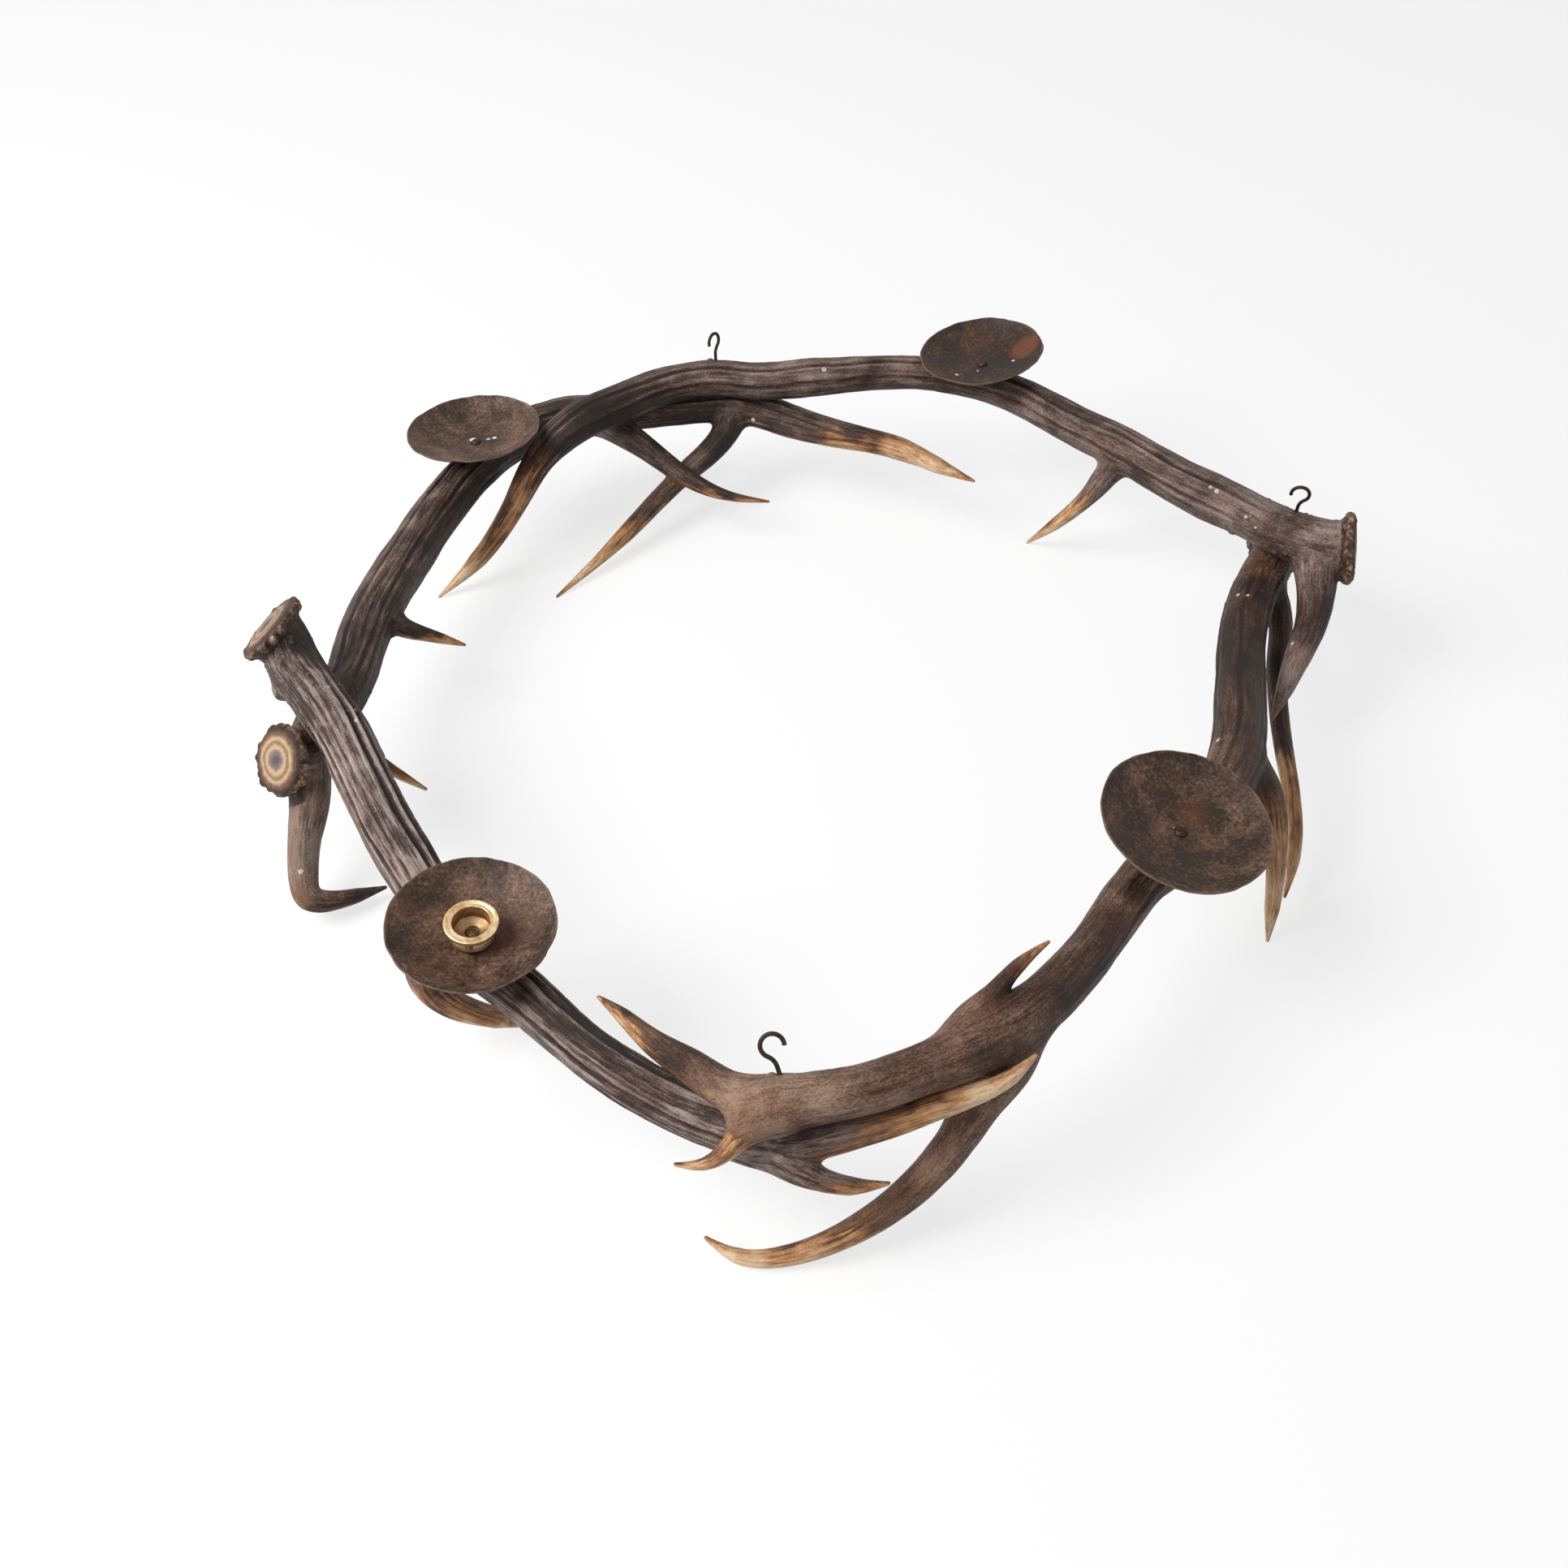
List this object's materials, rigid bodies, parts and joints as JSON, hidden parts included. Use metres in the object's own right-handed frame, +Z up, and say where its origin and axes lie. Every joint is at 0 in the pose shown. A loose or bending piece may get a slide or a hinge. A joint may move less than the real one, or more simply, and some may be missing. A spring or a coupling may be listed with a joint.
{
  "type": "antler chandelier",
  "caption": "Hanging ring of crossed shed antlers with shallow iron drip pans, a brass candle socket and wire hooks for its chains.",
  "frame": {"origin": "middle of the bounding box's underside: the middle of the ring, on the surface its tine tips rest on", "axes": "+Z up, +X to the right and +Y to the back as the picture sees the ring"},
  "size_m": [0.7939, 0.7992, 0.1522],
  "materials": {
    "antler": "rough grey-brown antler, polished to ivory at the tips",
    "rusted_iron": "rough, rusted dark brown",
    "aged_brass": "satin, aged",
    "hook_iron": "blackened",
    "screw_iron": "browned"
  },
  "bodies": {
    "root": {"antler_front_left": "antler", "antler_front_right": "antler", "antler_back_right": "antler", "antler_back_left": "antler", "drip_pan_front_left": "rusted_iron", "drip_pan_front_right": "rusted_iron", "drip_pan_back_right": "rusted_iron", "drip_pan_back_left": "rusted_iron", "pan_foot_front_left": "rusted_iron", "pan_foot_front_right": "rusted_iron", "pan_foot_back_right": "rusted_iron", "pan_foot_back_left": "rusted_iron", "pan_screw_front_left": "screw_iron", "pan_screw_front_right": "screw_iron", "pan_screw_back_right": "screw_iron", "pan_screw_back_left": "screw_iron", "candle_socket": "aged_brass", "hook_back": "hook_iron", "hook_right": "hook_iron", "hook_front": "hook_iron", "joint_screws_left": "screw_iron", "joint_screws_right": "screw_iron", "joint_screws_back": "screw_iron", "joint_screws_front": "screw_iron"}
  },
  "joints": []
}
